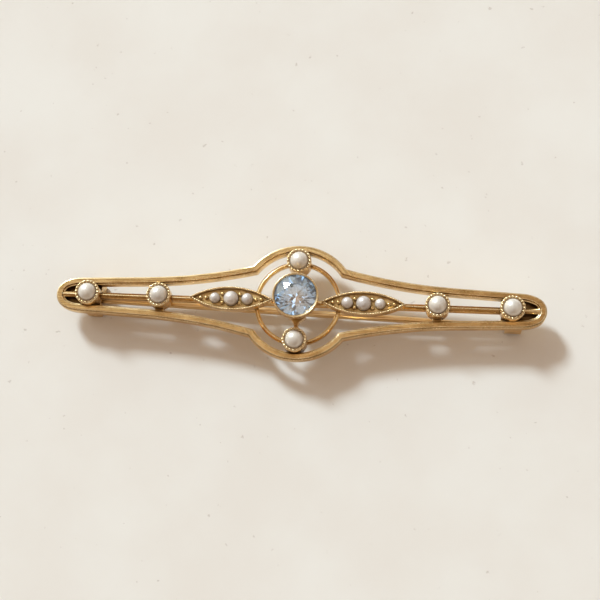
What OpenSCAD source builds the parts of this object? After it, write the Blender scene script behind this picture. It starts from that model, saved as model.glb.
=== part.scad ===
// Gold openwork bar brooch with one aquamarine, collet-set pearls and leaves of seed pearls.
// Millimetres. X runs along the bar, Y up the face and Z out of it. It lies on its fittings at Z = 0.

/* [Frame] */
// Length over both rounded ends
length = 60; // [59.5:0.1:60.5]
// Height of the frame's face above the surface that the brooch lies on
face_z = 3.9; // [3.8:0.05:4.3]
// Radius of the round bulge in the middle
bulge_r = 7.15; // [7.1:0.01:7.2]
// Width of the face strip
face_w = 0.62; // [0.58:0.02:0.66]
// Depth of the face strip
face_d = 0.25; // [0.2:0.05:0.3]
// Width of the flange strip under the face strip
flange_w = 0.97; // [0.93:0.02:1.01]
// How far the flange stands out past the face strip
flange_out = 0.15; // [0.11:0.02:0.17]
// Depth of the flange strip
flange_d = 1.05; // [1:0.05:1.1]
// Half width of the frame where each rail turns straight
rail_y = 2.39; // [2.37:0.01:2.41]
// Distance from the centre at which each rail turns straight
rail_x = 19; // [18.9:0.1:19.1]
// Slope of the straight rails, in degrees
rail_slope = 2.6; // [2.5:0.1:2.7]
// Radius of the rails' hollow sweep up to the bulge
sweep_r = 67; // [66:1:68]
// Radius of the shoulders of the rounded ends
shoulder_r = 4.5; // [4.4:0.1:4.6]
// Radius of the tips of the rounded ends
tip_r = 1.75; // [1.7:0.05:1.8]

/* [Inner metalwork] */
// Radius of the inner ring's ridge
ring_r = 5.08; // [5.04:0.02:5.12]
// Width of the inner ring's wire
ring_w = 0.54; // [0.46:0.02:0.6]
// Height of the inner ring's wire
ring_h = 0.75; // [0.6:0.05:0.8]
// Width of the knife-edge bar at its foot
bar_w = 0.74; // [0.6:0.02:0.8]
// Height of the knife-edge bar
bar_h = 1.1; // [1:0.05:1.15]
// Distance from the centre to the middle of each leaf
leaf_x = 8.12; // [8.1:0.02:8.14]
// Length of a leaf
leaf_l = 10.3; // [10.2:0.1:10.4]
// Width of a leaf
leaf_w = 2.96; // [2.9:0.02:3]
// Width of a leaf's raised rim
leaf_rim = 0.22; // [0.2:0.02:0.28]

/* [Stones] */
// Radius of the aquamarine's girdle
gem_r = 2.6; // [2.56:0.01:2.61]
// Height of the aquamarine's girdle above the frame's face
gem_rise = 2.85; // [2.8:0.05:2.9]
// Radius of each collet-set pearl
pearl_r = 1.12; // [1.08:0.02:1.14]
// Distance from the centre to the outer pearls on the bar
pearl_outer_x = 25.98; // [25.9:0.02:26.1]
// Distance from the centre to the inner pearls on the bar
pearl_inner_x = 17.04; // [17:0.02:17.2]
// Distance from the centre to the pearls above and below the aquamarine
pearl_side_y = 4.98; // [4.96:0.02:5]
// Radius of the collets' rims
collet_r = 1.5; // [1.48:0.02:1.52]
// Space left round each stone in its seat
stone_gap = 0.03; // [0.02:0.01:0.04]

/* [Pin] */
// Height of the pin stem's middle above the surface
pin_z = 0.95; // [0.95:0.01:0.97]
// Radius of the pin stem
stem_r = 0.42; // [0.38:0.02:0.44]
// Radius of the ball at the pin stem's hinge end
ball_r = 0.72; // [0.7:0.01:0.74]
// Radius of the hinge rivet
rivet_r = 0.26; // [0.24:0.01:0.28]
// Lean of the hinge rivet, in degrees, which lets the point swing out past the hook's lip
rivet_lean = 15; // [14:1:16]

/* [Hidden] */
$fn = 96;
gold = [0.83, 0.64, 0.35];

// Heights
flange_z = face_z - face_d;
back_z = flange_z - flange_d;
plate_t = 0.25;
plate_in = 0.1;
sink = 0.05;
plate_z = back_z - plate_t;

// Rails: the straight stretch is tangent to the hollow sweep at one end and to the shoulder at the other
rail_n = [sin(rail_slope), cos(rail_slope)];
rail_u = [cos(rail_slope), -sin(rail_slope)];
rail_start = [rail_x, rail_y];
sweep_c = rail_start + sweep_r * rail_n;
tip_c = [length / 2 - tip_r, 0];
reach = rail_start - shoulder_r * rail_n - tip_c;
reach_u = reach * rail_u;
rail_run = -reach_u - sqrt(pow(reach_u, 2) - reach * reach + pow(shoulder_r - tip_r, 2));
rail_end = rail_start + rail_run * rail_u;
shoulder_c = rail_end - shoulder_r * rail_n;
tip_dir = (tip_c - shoulder_c) / (shoulder_r - tip_r);
// Start of the wing inside the bulge, how far its pieces lap, and how far its cutting edges run past
wing_x = 3;
lap = 0.2;
past = 3;
far = 8;
// Where two stretches of the rail's edge meet they cross by this much, so that neither stands proud
nip = 0.001;

// Where the rail's normal through point p meets the bar's axis
function foot(p) = [p.x - p.y * tan(rail_slope), 0];
// Half width of the frame on the straight stretch
function rail_half(x) = rail_y - (x - rail_x) * tan(rail_slope);

// Inner ring and knife-edge bar: the heights of their feet, and of their shoulders as shares of the wire's
ring_z = back_z + 0.1;
ring_shoulder = 0.6;
bar_z = back_z + 0.15;
bar_shoulder = 0.72;
bar_start = 1.6;
bar_end = length / 2 - 0.5;

// The neck from the bezel's foot to the collet beside it: its right side as [half width, distance]
neck_end = pearl_side_y - 0.9;
neck_side = [[0.9, 1.42], [1.2, 1.75], [1.04, 2.05], [0.67, 2.3], [0.4, 2.56], [0.25, 2.85], [0.25, neck_end]];
neck_z = back_z + 0.35;
neck_h = 0.8;

// Leaves: two arcs, three seats and the gold grains between and beyond them, from the leaf's middle
leaf_arc_r = (pow(leaf_l / 2, 2) + pow(leaf_w / 2, 2)) / leaf_w;
leaf_bottom = face_z - 0.6;
leaf_floor = face_z + 0.2;
leaf_top = face_z + 0.55;
seed_step = 2;
seed_r = [0.7, 0.9, 0.64];
seed_rise = 0.42;
grain_r = 0.24;
grain_spots = [[1.08, 0.55], [1.08, -0.55], [3.06, 0], [3.74, 0]];

// Collets
collet_foot_r = 1.46;
collet_low = face_z - 1.2;
collet_top = face_z + 1.05;
collet_bore_r = 0.58;
pearl_z = face_z + 0.85;
saddle_w = 1.15;
saddle_low = face_z - 1;
saddle_top = face_z - 0.35;
saddle_lap = 0.25;

// Aquamarine and its bezel, as [radius, height above the face]
table_r = 1.38;
crown_h = 0.62;
star_r = 2.06;
star_h = 0.44;
girdle_h = 0.06;
pavilion_h = 2.15;
culet_r = 0.08;
slice = 0.01;
gem_z = face_z + gem_rise;
bezel_outer = [[1.75, -0.9], [2.64, 1.95], [2.78, 2.1], [2.78, 2.9], [2.68, 3.02], [2.54, 3.02]];
bezel_inner = [[2.54, 2.975], [2.64, 2.91], [2.64, 2.78], [2.34, 2.5], [1.4, -0.9]];

// Hinge and catch, placed from the pin's own line
hinge_at = [-25.7, 0.12];
catch_at = [26.3, -1.3];
pin_turn = atan2(catch_at.y - hinge_at.y, catch_at.x - hinge_at.x);
pin_run = norm(catch_at - hinge_at);
plate_x = 24.7;
ear_in = 0.78;
ear_out = 2;
ear_half = 0.95;
ear_round = 0.5;
bore_gap = 0.04;
fit_gap = 0.02;
thin_r = 0.22;
taper_x = 38;
thin_x = pin_run - 1.8;
point_x = pin_run + 0.5;
point_end = pin_run + 2.2;
point_r = 0.04;
// The stem's outline, as [distance from the hinge, radius]
stem_profile = [[0, 0], [0, stem_r], [taper_x, stem_r], [thin_x, thin_r], [point_x, thin_r],
    [point_end, point_r], [point_end, 0]];

// The catch's strip and its curl under the pin
hook_in = 0.4;
hook_wall = 0.32;
hook_y = -0.1;
hook_end = 266;
hook_half = 1;
foot_reach = 0.55;

pearl_spots = [[-pearl_outer_x, 0], [-pearl_inner_x, 0], [pearl_inner_x, 0], [pearl_outer_x, 0],
    [0, pearl_side_y], [0, -pearl_side_y]];

module both_ways(axis) {
    children();
    mirror(axis) children();
}

// One quarter of a wing of the frame's outline, moved inwards by d. Its pieces lap one another.
module wing_quarter(d) {
    difference() {
        polygon([[wing_x, -lap], [foot(rail_start).x, -lap], foot(rail_start), rail_start + past * rail_n,
            [wing_x, far]]);
        translate(sweep_c) circle(sweep_r + d, $fn = 720);
    }
    polygon([[rail_start.x - 1, -lap], [foot(rail_end).x, -lap], rail_end - (d + nip) * rail_n,
        rail_start - rail_u - (d - nip) * rail_n]);
    intersection() {
        polygon([[foot(rail_end).x - past, -lap], [tip_c.x, -lap], tip_c, tip_c + past * tip_dir,
            rail_end + past * (rail_n - rail_u)]);
        translate(shoulder_c) circle(shoulder_r - d, $fn = 360);
    }
}

// The frame's outline, moved inwards by d
module outline(d) {
    circle(bulge_r - d, $fn = 180);
    both_ways([1, 0]) {
        both_ways([0, 1]) wing_quarter(d);
        translate(tip_c) circle(tip_r - d + nip);
    }
}

module strip(inset, width, low, high) {
    translate([0, 0, low]) linear_extrude(high - low) difference() {
        outline(inset);
        outline(inset + width);
    }
}

module frame() {
    strip(0, face_w, flange_z, face_z);
    strip(-flange_out, flange_w, back_z, flange_z);
}

// A wire with a ridge along its top, drawn from its foot
module ridge_section(width, height, shoulder) {
    polygon([[-width / 2, 0], [width / 2, 0], [width / 2, shoulder], [0, height], [-width / 2, shoulder]]);
}

module inner_ring() {
    translate([0, 0, ring_z]) rotate_extrude()
        translate([ring_r, 0]) ridge_section(ring_w, ring_h, ring_h * ring_shoulder);
}

module knife_bar() {
    translate([bar_start, 0, bar_z]) rotate([90, 0, 90])
        linear_extrude(bar_end - bar_start) ridge_section(bar_w, bar_h, bar_h * bar_shoulder);
}

module lens(inset) {
    intersection_for (side = [-1, 1])
        translate([0, side * (leaf_arc_r - leaf_w / 2)]) circle(leaf_arc_r - inset, $fn = 360);
}

// A leaf-shaped tray with a raised rim and gold grains
module leaf() {
    difference() {
        translate([0, 0, leaf_bottom]) linear_extrude(leaf_top - leaf_bottom) lens(0);
        translate([0, 0, leaf_floor]) linear_extrude(far) lens(leaf_rim);
    }
    both_ways([1, 0, 0]) for (spot = grain_spots)
        translate([spot.x, spot.y, leaf_floor + grain_r / 2]) sphere(grain_r, $fn = 32);
}

// A cup for a pearl, a little wider at its rim
module collet() {
    translate([0, 0, collet_low])
        cylinder(r1 = collet_foot_r, r2 = collet_r, h = collet_top - collet_low);
}

// The cross-piece that carries a collet, reaching onto the face strip at distance end
module saddle(end, start) {
    translate([-saddle_w / 2, start, saddle_low]) cube([saddle_w, end - start, saddle_top - saddle_low]);
}

module bar_saddle(x) {
    end = rail_half(x) - face_w + saddle_lap;
    translate([x, 0, 0]) saddle(end, -end);
}

module pearl_seat() {
    translate([0, 0, pearl_z]) sphere(pearl_r + stone_gap);
    translate([0, 0, collet_low - 1]) cylinder(r = collet_bore_r, h = 1.5);
}

module bezel() {
    translate([0, 0, face_z]) rotate_extrude() polygon(concat(bezel_outer, bezel_inner));
}

// The wedge that narrows from the bezel's foot to the collet beside it
module neck() {
    translate([0, 0, neck_z]) linear_extrude(neck_h) both_ways([1, 0])
        polygon(concat([[-lap, neck_side[0].y]], neck_side, [[-lap, neck_end]]));
}

// The plate that closes the back of a rounded end and carries a fitting
module end_plate() {
    translate([0, 0, plate_z]) linear_extrude(plate_t + sink) intersection() {
        outline(plate_in);
        translate([plate_x, -far]) square([length / 2 - plate_x, 2 * far]);
    }
}

module on_pin_line(x) {
    translate([hinge_at.x, hinge_at.y, pin_z]) rotate([0, 0, pin_turn]) translate([x, 0, 0]) children();
}

module along_rivet(r, half) {
    rotate([90 + rivet_lean, 0, 0]) cylinder(r = r, h = 2 * half, center = true, $fn = 48);
}

module ear() {
    top = back_z + sink - pin_z;
    rotate([90, 0, 0]) translate([0, 0, ear_in]) linear_extrude(ear_out - ear_in) {
        translate([-ear_half, ear_round - pin_z]) square([2 * ear_half, top + pin_z - ear_round]);
        translate([ear_round - ear_half, -pin_z]) square([2 * (ear_half - ear_round), ear_round]);
        both_ways([1, 0]) translate([ear_half - ear_round, ear_round - pin_z]) circle(ear_round, $fn = 48);
    }
}

module hinge_ears() {
    on_pin_line(0) difference() {
        both_ways([0, 1, 0]) ear();
        along_rivet(rivet_r + fit_gap, 3);
    }
}

// The catch: a strip that stands down from the end plate and curls under the pin
module hook_section() {
    out = hook_in + hook_wall;
    low = out - pin_z;
    top = back_z + sink - pin_z;
    foot_low = plate_z - hook_wall - pin_z;
    translate([hook_y, low]) intersection() {
        difference() {
            circle(out, $fn = 72);
            circle(hook_in, $fn = 72);
        }
        polygon([[0, 0], [-far, 0], [-far, -far], far * [cos(hook_end), sin(hook_end)]]);
    }
    translate([hook_y - out, low]) square([hook_wall, top - low]);
    translate([hook_y - out, foot_low]) square([foot_reach + out, top - foot_low]);
}

module catch_hook() {
    on_pin_line(pin_run - hook_half) rotate([90, 0, 90]) linear_extrude(2 * hook_half) hook_section();
}

module gold_mount() {
    color(gold) difference() {
        union() {
            frame();
            inner_ring();
            bezel();
            both_ways([1, 0, 0]) {
                knife_bar();
                translate([leaf_x, 0, 0]) leaf();
                end_plate();
                bar_saddle(pearl_inner_x);
                bar_saddle(pearl_outer_x);
            }
            both_ways([0, 1, 0]) {
                neck();
                saddle(bulge_r - face_w + saddle_lap, pearl_side_y);
            }
            for (spot = pearl_spots) translate(spot) collet();
            hinge_ears();
            catch_hook();
        }
        for (spot = pearl_spots) translate(spot) pearl_seat();
        for (side = [-1, 1], i = [0:2]) seed_place(side, i) sphere(seed_r[i] + stone_gap, $fn = 64);
    }
}

// A round stone with an eight-sided table, a sixteen-sided girdle and a pointed pavilion
module aquamarine() {
    color([0.62, 0.8, 0.9, 0.7]) translate([0, 0, gem_z]) hull() {
        translate([0, 0, crown_h]) rotate(360 / 16) linear_extrude(slice) circle(table_r, $fn = 8);
        translate([0, 0, star_h]) linear_extrude(slice) circle(star_r, $fn = 8);
        translate([0, 0, -girdle_h / 2]) linear_extrude(girdle_h) circle(gem_r, $fn = 16);
        translate([0, 0, -pavilion_h]) linear_extrude(slice) circle(culet_r, $fn = 8);
    }
}

module pearl(spot) {
    color([0.93, 0.91, 0.86]) translate([spot.x, spot.y, pearl_z]) sphere(pearl_r);
}

// Place of a leaf's seed pearl: i counts outwards from the aquamarine
module seed_place(side, i) {
    translate([side * (leaf_x + (i - 1) * seed_step), 0, face_z + seed_rise]) children();
}

module seed(side, i) {
    color([0.88, 0.86, 0.82]) seed_place(side, i) sphere(seed_r[i], $fn = 64);
}

module pin_stem() {
    color(gold) on_pin_line(0) difference() {
        union() {
            sphere(ball_r);
            rotate([90, 0, 90]) rotate_extrude() polygon([for (p = stem_profile) [p[1], p[0]]]);
        }
        along_rivet(rivet_r + bore_gap, 2);
    }
}

// The rivet, filed flush with the ears
module hinge_rivet() {
    color(gold) on_pin_line(0) intersection() {
        along_rivet(rivet_r, 3);
        cube([4, 2 * ear_out, 4], center = true);
    }
}

gold_mount();
aquamarine();
pearl(pearl_spots[0]);  // pearl_left_outer
pearl(pearl_spots[1]);  // pearl_left_inner
pearl(pearl_spots[2]);  // pearl_right_inner
pearl(pearl_spots[3]);  // pearl_right_outer
pearl(pearl_spots[4]);  // pearl_top
pearl(pearl_spots[5]);  // pearl_bottom
seed(-1, 2);  // seed_left_outer
seed(-1, 1);  // seed_left_middle
seed(-1, 0);  // seed_left_inner
seed(1, 0);  // seed_right_inner
seed(1, 1);  // seed_right_middle
seed(1, 2);  // seed_right_outer
pin_stem();
hinge_rivet();
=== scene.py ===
import math
import bmesh
import bpy
from mathutils import Matrix, Vector


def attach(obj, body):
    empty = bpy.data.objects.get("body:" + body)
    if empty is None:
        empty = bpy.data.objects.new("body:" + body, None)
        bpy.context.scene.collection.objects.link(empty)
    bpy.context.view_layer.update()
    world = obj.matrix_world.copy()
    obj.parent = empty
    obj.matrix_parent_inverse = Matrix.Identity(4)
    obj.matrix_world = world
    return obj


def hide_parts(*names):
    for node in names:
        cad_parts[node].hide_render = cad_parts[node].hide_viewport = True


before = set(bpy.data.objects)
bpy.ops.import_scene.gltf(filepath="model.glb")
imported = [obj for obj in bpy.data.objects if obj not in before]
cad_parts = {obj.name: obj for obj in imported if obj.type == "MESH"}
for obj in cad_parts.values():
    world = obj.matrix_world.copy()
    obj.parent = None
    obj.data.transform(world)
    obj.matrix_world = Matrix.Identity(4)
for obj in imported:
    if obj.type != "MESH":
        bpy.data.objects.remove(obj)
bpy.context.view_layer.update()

# The view: looking down on the brooch from its front and a little from the right, with the
# lens a hand's breadth away.
lens_place = (0.01437, -0.04085, 0.14735)
look_right = Vector((0.9950, 0.0618, -0.0797))
look_up = Vector((-0.0373, 0.9597, 0.2785))
look_back = look_right.cross(look_up).normalized()
look_up = look_back.cross(look_right).normalized()
look_right.normalize()
lens = bpy.data.cameras.new("view")
lens.sensor_width = 36
lens.lens = 73.65
lens.clip_start = 0.001
lens.clip_end = 20
view = bpy.data.objects.new("view", lens)
bpy.context.scene.collection.objects.link(view)
view_turn = Matrix((look_right, look_up, look_back)).transposed().to_4x4()
view.matrix_world = Matrix.Translation(lens_place) @ view_turn
bpy.context.scene.camera = view
bpy.context.scene.view_settings.view_transform = "Standard"

# The light: soft window light from the upper left, low enough for a long shadow. It is the only
# lamp, and the rest of the light comes from the room.
to_window = Vector((-0.85, 1.1, 1.0)).normalized()
window = bpy.data.lights.new("window", "SUN")
window.energy = 3.2
window.angle = math.radians(11)
window.color = (0.70, 0.87, 1.0)
window_light = bpy.data.objects.new("window", window)
window_light.rotation_euler = to_window.to_track_quat("Z", "Y").to_euler()
bpy.context.scene.collection.objects.link(window_light)


class Wire:
    """A socket of a node tree. Sums and products of wires add Math nodes to the tree."""

    def __init__(self, tree, socket=None):
        self.tree = tree
        self.socket = socket

    def node(self, kind, settings=(), sockets=(), out=0):
        """A new node's output, with its settings made first and then its sockets' values or links."""
        made = self.tree.nodes.new(kind)
        for name, setting in dict(settings).items():
            setattr(made, name, setting)
        for name, value in dict(sockets).items():
            if isinstance(value, Wire):
                self.tree.links.new(value.socket, made.inputs[name])
            else:
                made.inputs[name].default_value = value
        return Wire(self.tree, made.outputs[out])

    def maths(self, operation, first, second=0.0):
        return self.node("ShaderNodeMath", {"operation": operation}, {0: first, 1: second})

    def __add__(self, other):
        return self.maths("ADD", self, other)

    def __sub__(self, other):
        return self.maths("SUBTRACT", self, other)

    def __rsub__(self, other):
        return self.maths("SUBTRACT", other, self)

    def __mul__(self, other):
        return self.maths("MULTIPLY", self, other)

    __radd__ = __add__
    __rmul__ = __mul__

    def clamped(self):
        return self.node("ShaderNodeClamp", {}, {"Value": self})

    def step(self, low, high):
        """0 below low, 1 above high and a smooth rise between them."""
        return self.node("ShaderNodeMapRange", {"interpolation_type": "SMOOTHSTEP"},
                         {"Value": self, "From Min": low, "From Max": high})

    def mix(self, dark, light):
        """The colour light where this wire is 1 and dark where it is 0."""
        return self.node("ShaderNodeMix", {"data_type": "RGBA"},
                         {"Factor": self, 6: dark, 7: light}, out=2)


# The room: warm and dim low down, paler above and brightest at the window's panes, with lighter
# and darker things along its walls, a doorway on the right and a warm pale wall behind the camera.
# The gold, the pearls and the aquamarine mirror it.
world = bpy.data.worlds.new("room")
world.use_nodes = True
bpy.context.scene.world = world
room = Wire(world.node_tree)
toward = room.node("ShaderNodeTexCoord", out="Generated")


def nearness(direction):
    """1 towards the direction, 0 square to it and -1 away from it."""
    return room.node("ShaderNodeVectorMath", {"operation": "DOT_PRODUCT"},
                     {0: toward, 1: tuple(direction)}, out="Value")


to_panes = Vector((-0.95, 1.1, 0.65)).normalized()
to_doorway = Vector((0.9, -0.3, 0.35)).normalized()
bright_side = nearness(to_window) * 0.6 + nearness((0, 0, 1)) * 0.4
shifted = room.node("ShaderNodeMapping", {}, {"Vector": toward, "Location": (0.45, 0.0, 0.21)})
things = room.node("ShaderNodeTexVoronoi", {"feature": "SMOOTH_F1"},
                   {"Vector": shifted, "Scale": 9.0, "Smoothness": 0.35}, out="Color")
lit = bright_side.step(-0.6, 0.95) * (0.2 + things.step(0.33, 0.67) * 1.6)
walls = lit.mix((0.11, 0.055, 0.022, 1), (0.57, 0.40, 0.26, 1))
glinting = things.step(0.72, 0.80) * bright_side.step(-0.1, 0.4)
glints = glinting.mix(walls, (1.2, 1.4, 1.6, 1))
panes = nearness(to_panes).step(0.82, 0.95).mix(glints, (1.7, 1.75, 1.65, 1))
doorway = nearness(to_doorway).step(0.88, 0.93).mix(panes, (0.72, 0.68, 0.60, 1))
seen = nearness(look_back).step(0.93, 0.985).mix(doorway, (0.80, 0.66, 0.54, 1))
background = world.node_tree.nodes["Background"]
world.node_tree.links.new(seen.socket, background.inputs["Color"])
background.inputs["Strength"].default_value = 1.0


# The surface that the brooch lies on: a slab of pale cream stone, honed flat, with a faint
# cloudiness and a few fine pits.
def coloured(name, **constants):
    """A new material, its first wire, and its shader with the given sockets set."""
    material = bpy.data.materials.new(name)
    material.use_nodes = True
    shader = material.node_tree.nodes["Principled BSDF"]
    for socket, value in constants.items():
        shader.inputs[socket.replace("_", " ")].default_value = value
    return material, Wire(material.node_tree), shader


def feed(shader, socket, wire):
    wire.tree.links.new(wire.socket, shader.inputs[socket])


slab_half = 1.5
stone, grain, stone_shader = coloured("cream_stone", Roughness=0.75, Specular_IOR_Level=0.25)
spot = grain.node("ShaderNodeTexCoord", out="Object")
cloud = grain.node("ShaderNodeTexNoise", {}, {"Vector": spot, "Scale": 60.0, "Detail": 5.0})
speck = grain.node("ShaderNodeTexNoise", {}, {"Vector": spot, "Scale": 900.0, "Detail": 3.0})
pit = speck.step(0.70, 0.74)
pale = cloud.step(0.3, 0.7).mix((0.80, 0.728, 0.645, 1), (0.835, 0.778, 0.70, 1))
feed(stone_shader, "Base Color", (pit * 0.35).mix(pale, (0.42, 0.31, 0.25, 1)))
feed(stone_shader, "Normal",
     grain.node("ShaderNodeBump", {}, {"Height": cloud * 0.4 + speck * 0.3 - pit * 0.8,
                                       "Distance": 0.00006, "Strength": 0.5}))
slab = bmesh.new()
bmesh.ops.create_grid(slab, x_segments=1, y_segments=1, size=slab_half)
slab_mesh = bpy.data.meshes.new("slab")
slab.to_mesh(slab_mesh)
slab_mesh.materials.append(stone)
floor = bpy.data.objects.new("slab", slab_mesh)
bpy.context.scene.collection.objects.link(floor)


# The gold mount: strips, wires, trays and collets of 15 carat gold, soldered into one piece.
# Its edges are rubbed pale, partly by wear and partly as a painted highlight, the marks of drawing
# run along the wings and round the bulge, and its corners and recesses are darkened, partly old dark
# and partly painted shade.
bulge_edge = 0.0075
marks_along = 260
marks_across = 4200
marks_down = 3600
corner_reach = 0.0004
recess_reach = 0.0016


def mount_finish(name, dark, bright, rough, grime_and_shade=(0.10, 0.05, 0.014, 1)):
    """Worn gold: grime and painted shade in the corners and recesses, streaked along the strips and
    mottled between two tones.
    """
    material, metal, shader = coloured(name, Metallic=1.0)
    place = metal.node("ShaderNodeTexCoord", out="Object")
    along, across, up = (metal.node("ShaderNodeSeparateXYZ", {}, {"Vector": place}, out=axis)
                         for axis in "XYZ")
    ray = metal.maths("SQRT", along * along + across * across)
    swing = metal.maths("ARCTAN2", across, along) * bulge_edge
    outside = metal.maths("GREATER_THAN", ray, bulge_edge)
    length = outside * along + (1 - outside) * swing
    breadth = outside * across + (1 - outside) * ray
    strip = metal.node("ShaderNodeCombineXYZ", {}, {"X": length * marks_along,
                                                    "Y": breadth * marks_across,
                                                    "Z": up * marks_down})
    streak = metal.node("ShaderNodeTexNoise", {}, {"Vector": strip, "Scale": 1.0, "Detail": 2.0})
    blotch = metal.node("ShaderNodeTexNoise", {}, {"Vector": place, "Scale": 700.0, "Detail": 3.0})
    rub = metal.node("ShaderNodeTexNoise", {}, {"Vector": place, "Scale": 5200.0, "Detail": 2.0})
    # Ambient occlusion darkens the colour towards the grime colour in corners and recesses: painted
    # shade, along with the old dark that lies there.
    corner, recess = (metal.node("ShaderNodeAmbientOcclusion", {"samples": 8},
                                 {"Distance": reach}, out="AO")
                      for reach in (corner_reach, recess_reach))
    tarnish = (blotch - 0.5) * 0.4 + (streak - 0.5) * 0.8
    unshaded_and_worn = (corner.step(0.3, 0.95) * recess.step(0.15, 0.7) + tarnish).clamped()
    tone = (blotch * 0.4 + streak * 0.6).step(0.36, 0.64).mix(dark, bright)
    feed(shader, "Base Color", unshaded_and_worn.mix(grime_and_shade, tone))
    feed(shader, "Roughness", rough + 0.14 - unshaded_and_worn * 0.14 + rub * 0.12)
    feed(shader, "Normal",
         metal.node("ShaderNodeBump", {}, {"Height": rub * 0.4 + streak,
                                           "Distance": 0.000012, "Strength": 0.6}))
    return material


# Four finishes: the gold as it left the maker; the edges that wear has rubbed pale, made paler still
# as a painted highlight; the bezel's inside, painted pale so that it shows bright through the
# aquamarine, with its painted shade kept pale; and the leaves' trays, which hold a little dirt.
gold = mount_finish("mount_gold", (0.66, 0.42, 0.16, 1), (0.94, 0.65, 0.29, 1), 0.18)
# Pale rubbed gold: worn edges made paler as a painted highlight, with light grime and painted shade.
rubbed_highlight_gold = mount_finish("rubbed_highlight_gold", (0.84, 0.61, 0.32, 1), (0.98, 0.80, 0.50, 1), 0.20,
                           grime_and_shade=(0.34, 0.21, 0.09, 1))
# The bezel's inside is painted pale, with pale grime and shade, so that it shows bright through the
# aquamarine.
pale_bore_gold = mount_finish("pale_bore_gold", (0.90, 0.74, 0.52, 1), (0.98, 0.86, 0.66, 1), 0.20,
                          grime_and_shade=(0.80, 0.62, 0.42, 1))
tray_gold = mount_finish("tray_gold", (0.66, 0.42, 0.16, 1), (0.92, 0.65, 0.30, 1), 0.28,
                         grime_and_shade=(0.22, 0.125, 0.04, 1))
golds = [gold, rubbed_highlight_gold, pale_bore_gold, tray_gold]
plain, rubbed_and_lit, lit_bore, tray = range(len(golds))


def finish_piece(name, shape, materials, slot, body, *nodes, crisp=38):
    """Makes a piece of a bmesh, with edges over crisp degrees kept sharp, and fixes it to a body."""
    mesh = bpy.data.meshes.new(name)
    shape.to_mesh(mesh)
    shape.free()
    for material in materials:
        mesh.materials.append(material)
    mesh.shade_smooth()
    mesh.set_sharp_from_angle(angle=math.radians(crisp))
    piece = bpy.data.objects.new(name, mesh)
    bpy.context.scene.collection.objects.link(piece)
    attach(piece, body)
    if nodes:
        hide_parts(*nodes)
    return piece


# The solids' edges are eased, and those of the frame, the ring and the bar, which rub most in
# wear, are rounded a little further.
weld_gap = 1e-7
flat_angle = math.radians(0.5)
edge_angle = math.radians(30)
eased = 0.00005
rubbed_down = 0.00008
strip_low = 0.0034
strip_high = 0.00395
hub_r = 0.005
mount = bmesh.new()
mount.from_mesh(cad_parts["gold_mount"].data)
bmesh.ops.remove_doubles(mount, verts=mount.verts, dist=weld_gap)
bmesh.ops.dissolve_limit(mount, angle_limit=flat_angle, verts=mount.verts, edges=mount.edges)
for face in mount.faces:
    face.material_index = plain


def on_strips(edge):
    """Whether an edge is one of the frame's, the ring's or the bar's."""
    return all(strip_low < end.co.z < strip_high and end.co.xy.length > hub_r for end in edge.verts)


for width, proud in ((rubbed_down, True), (eased, False)):
    corners = [edge for edge in mount.edges
               if edge.is_convex and edge.calc_face_angle(0) > edge_angle
               and on_strips(edge) == proud
               and all(face.material_index == plain for face in edge.link_faces)]
    rounded = bmesh.ops.bevel(mount, geom=corners, offset=width, offset_type="OFFSET",
                              affect="EDGES", segments=2, profile=0.5, clamp_overlap=False,
                              material=-1)
    # The rounded edges take the pale rubbed finish: wear, and a painted highlight along the edges.
    for face in rounded["faces"]:
        face.material_index = rubbed_and_lit

# Where the other finishes lie: on the collets' upper parts, whose pale rubbed finish is partly a
# painted highlight and lightens the painted shade round the pearls, in the bezel's bore below its
# lip, painted pale, and inside the rims of the two leaves, whose grains and walls are rubbed pale
# too.
collet_spots = [(-0.02598, 0), (-0.01704, 0), (0.01704, 0), (0.02598, 0), (0, 0.00498), (0, -0.00498)]
collet_low = 0.0042
collet_r = 0.0015
bezel_bore_r = 0.00262
bezel_low = 0.003
bezel_lip = 0.00668
tray_start = 0.003
tray_end = 0.0132
tray_side = 0.0014
tray_low = 0.0035
tray_high = 0.00442
floor_level = 0.9


def in_collet(point):
    return point.z > collet_low and any((point.xy - Vector(spot)).length < collet_r
                                        for spot in collet_spots)


def in_bezel(point):
    return point.xy.length < bezel_bore_r and bezel_low < point.z < bezel_lip


def in_tray(point):
    return (tray_start < abs(point.x) < tray_end and abs(point.y) < tray_side
            and tray_low < point.z < tray_high)


for face in mount.faces:
    ends = [end.co for end in face.verts]
    # The collets' tops take the pale rubbed finish: wear and a painted highlight, with lighter
    # painted shade round the pearls.
    if all(in_collet(end) for end in ends):
        face.material_index = rubbed_and_lit
    # The bezel's bore takes the pale finish that is painted to show bright through the aquamarine.
    if all(in_bezel(end) for end in ends):
        face.material_index = lit_bore
    if all(in_tray(end) for end in ends):
        face.material_index = tray if face.normal.z > floor_level else rubbed_and_lit
mount_piece = finish_piece("mount", mount, golds, "gold", "mount", "gold_mount")
flats = mount_piece.modifiers.new("flats", "WEIGHTED_NORMAL")
flats.keep_sharp = True
flats.weight = 80


# Milgrain: a wheel run round each edge leaves a row of tiny beads on the collets' rims and on
# the edges of the two leaves.
def bead(shape, where, radius):
    bmesh.ops.create_icosphere(shape, subdivisions=2, radius=radius,
                               matrix=Matrix.Translation(where))


collet_top = 0.00493
collet_rim = 0.00135
collet_bead = 0.00017
beads_round = 20
collet_beads = bmesh.new()
for x, y in collet_spots:
    for i in range(beads_round):
        turn = math.tau * i / beads_round
        bead(collet_beads, (x + collet_rim * math.cos(turn), y + collet_rim * math.sin(turn),
                            collet_top), collet_bead)
finish_piece("collet_milgrain", collet_beads, [rubbed_highlight_gold], "gold", "mount")

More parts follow.
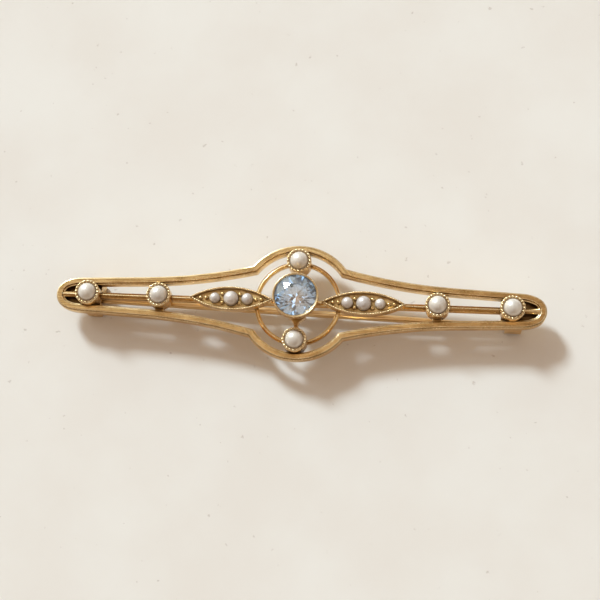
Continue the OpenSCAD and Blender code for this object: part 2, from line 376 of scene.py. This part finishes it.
leaf_x = 0.00812
leaf_half = 0.00515
leaf_wide = 0.00148
leaf_top = 0.00443
leaf_bead = 0.00013
leaf_inset = 0.00011
leaf_count = 34
leaf_arc = (leaf_half ** 2 + leaf_wide ** 2) / (2 * leaf_wide)
leaf_chord = leaf_arc - leaf_wide
rim_arc = leaf_arc - leaf_inset
leaf_sweep = math.acos(leaf_chord / rim_arc)
leaf_beads = bmesh.new()
for wing in (-1, 1):
    for flank in (-1, 1):
        for i in range(leaf_count + 1):
            turn = leaf_sweep * (2 * i / leaf_count - 1)
            bead(leaf_beads, (wing * leaf_x + rim_arc * math.sin(turn),
                              flank * (rim_arc * math.cos(turn) - leaf_chord), leaf_top), leaf_bead)
finish_piece("leaf_milgrain", leaf_beads, [rubbed_highlight_gold], "gold", "mount")


# The bezel's edge: a fine round wire of gold is burnished onto its rim and leaves a dark line
# between itself and the lip that holds the aquamarine.
rim_wire_r = 0.00007
bezel_rim_r = 0.00271
bezel_rim_z = 0.00692
rim_wire = bmesh.new()
bmesh.ops.create_circle(rim_wire, segments=10, radius=rim_wire_r,
                        matrix=Matrix.Translation((bezel_rim_r, 0, bezel_rim_z))
                        @ Matrix.Rotation(math.pi / 2, 4, "X"))
bmesh.ops.spin(rim_wire, geom=rim_wire.verts[:] + rim_wire.edges[:], axis=(0, 0, 1),
               cent=(0, 0, 0), angle=math.tau, steps=120, use_merge=True)
bmesh.ops.recalc_face_normals(rim_wire, faces=rim_wire.faces)
finish_piece("bezel_wire", rim_wire, [rubbed_highlight_gold], "gold", "mount")


# The pin: drawn gold wire, tapered to a point and turning on a rivet between the hinge's ears.
# It and the rivet are the solids themselves, with the fine lines of the draw plate along them.
wire_gold, drawn, wire_shader = coloured("drawn_wire_gold", Metallic=1.0)
along = drawn.node("ShaderNodeTexCoord", out="Object")
stretched = drawn.node("ShaderNodeMapping", {}, {"Vector": along, "Scale": (400.0, 9000.0, 9000.0)})
draw_lines = drawn.node("ShaderNodeTexNoise", {}, {"Vector": stretched, "Scale": 1.0, "Detail": 2.0})
feed(wire_shader, "Base Color",
     draw_lines.step(0.3, 0.7).mix((0.78, 0.53, 0.25, 1), (0.85, 0.62, 0.33, 1)))
feed(wire_shader, "Roughness", 0.22 + draw_lines * 0.16)
feed(wire_shader, "Normal",
     drawn.node("ShaderNodeBump", {}, {"Height": draw_lines, "Distance": 0.000006, "Strength": 0.5}))
for name in ("pin_stem", "hinge_rivet"):
    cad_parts[name].data.materials.clear()
    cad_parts[name].data.materials.append(wire_gold)


# The pearls: round natural pearls, cream white with a grey lustre; those in the leaves are
# seed pearls, a little greyer.
def nacre(name, body_colour, shade_colour):
    material, layers, shader = coloured(name, Metallic=0.25, Roughness=0.40, Coat_Weight=0.9,
                                        Coat_Roughness=0.28, Coat_IOR=1.65)
    where = layers.node("ShaderNodeTexCoord", out="Object")
    clouding = layers.node("ShaderNodeTexNoise", {}, {"Vector": where, "Scale": 900.0, "Detail": 3.0})
    feed(shader, "Base Color", clouding.step(0.3, 0.7).mix(shade_colour, body_colour))
    ripple = layers.node("ShaderNodeTexNoise", {}, {"Vector": where, "Scale": 2600.0, "Detail": 1.0})
    feed(shader, "Normal",
         layers.node("ShaderNodeBump", {}, {"Height": ripple, "Distance": 0.00002, "Strength": 0.4}))
    return material


pearl_nacre = nacre("pearl_nacre", (0.83, 0.75, 0.64, 1), (0.69, 0.62, 0.54, 1))
seed_nacre = nacre("seed_nacre", (0.82, 0.73, 0.64, 1), (0.62, 0.55, 0.50, 1))
for name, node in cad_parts.items():
    if name.startswith("pearl") or name.startswith("seed"):
        node.data.materials.clear()
        node.data.materials.append(pearl_nacre if name.startswith("pearl") else seed_nacre)


# The aquamarine: a round brilliant, bluer towards its rim and held by the bezel's lip. Its centre is
# nearly colourless, a painted light that stands in for the bright light seen through its middle. It
# has a table, eight main facets above and eight below, and smaller ones between them. Its index is
# set above the mineral's 1.58, so that its back returns the light.
aqua, crystal, aqua_shader = coloured("cut_aquamarine", Roughness=0.0, Transmission_Weight=0.98,
                                      IOR=1.95)
inside = crystal.node("ShaderNodeTexCoord", out="Object")
flat_way = crystal.node("ShaderNodeVectorMath", {"operation": "MULTIPLY"}, {0: inside, 1: (1, 1, 0)})
off_axis = crystal.node("ShaderNodeVectorMath", {"operation": "LENGTH"}, {0: flat_way}, out="Value")
# Painted light: the tint fades to nearly white at the centre, so that the middle of the stone reads
# as lit.
feed(aqua_shader, "Base Color",
     off_axis.step(0.0004, 0.0019).mix((1.0, 0.95, 0.93, 1), (0.42, 0.66, 0.96, 1)))
girdle_z = 0.00675
girdle_r = 0.0026
girdle_half = 0.00003
table_z = 0.00062
table_r = 0.00138
star_r = 0.00206
culet_z = -0.0023
lower_r = 0.00066
mains = 8
eighth = math.pi / mains
crown_run = girdle_r - table_r
crown_rise = table_z - girdle_half
star_z = table_z - (star_r * math.cos(eighth) - table_r) / crown_run * crown_rise
lower_z = culet_z - lower_r * math.cos(eighth) / girdle_r * (culet_z + girdle_half)
brilliant = bmesh.new()
for radius, height, corners, turn in ((table_r, table_z, mains, eighth),
                                      (star_r, star_z, mains, 0),
                                      (girdle_r, girdle_half, 2 * mains, 0),
                                      (girdle_r, -girdle_half, 2 * mains, 0),
                                      (lower_r, lower_z, mains, 0)):
    bmesh.ops.create_circle(brilliant, segments=corners, radius=radius,
                            matrix=Matrix.Translation((0, 0, girdle_z + height))
                            @ Matrix.Rotation(turn, 4, "Z"))
brilliant.verts.new((0, 0, girdle_z + culet_z))
bmesh.ops.convex_hull(brilliant, input=brilliant.verts)
bmesh.ops.dissolve_limit(brilliant, angle_limit=flat_angle, verts=brilliant.verts,
                         edges=brilliant.edges)
bmesh.ops.recalc_face_normals(brilliant, faces=brilliant.faces)
gem = finish_piece("aquamarine_brilliant", brilliant, [aqua], "aquamarine", "mount", "aquamarine",
                   crisp=0.5)
gem.visible_shadow = False
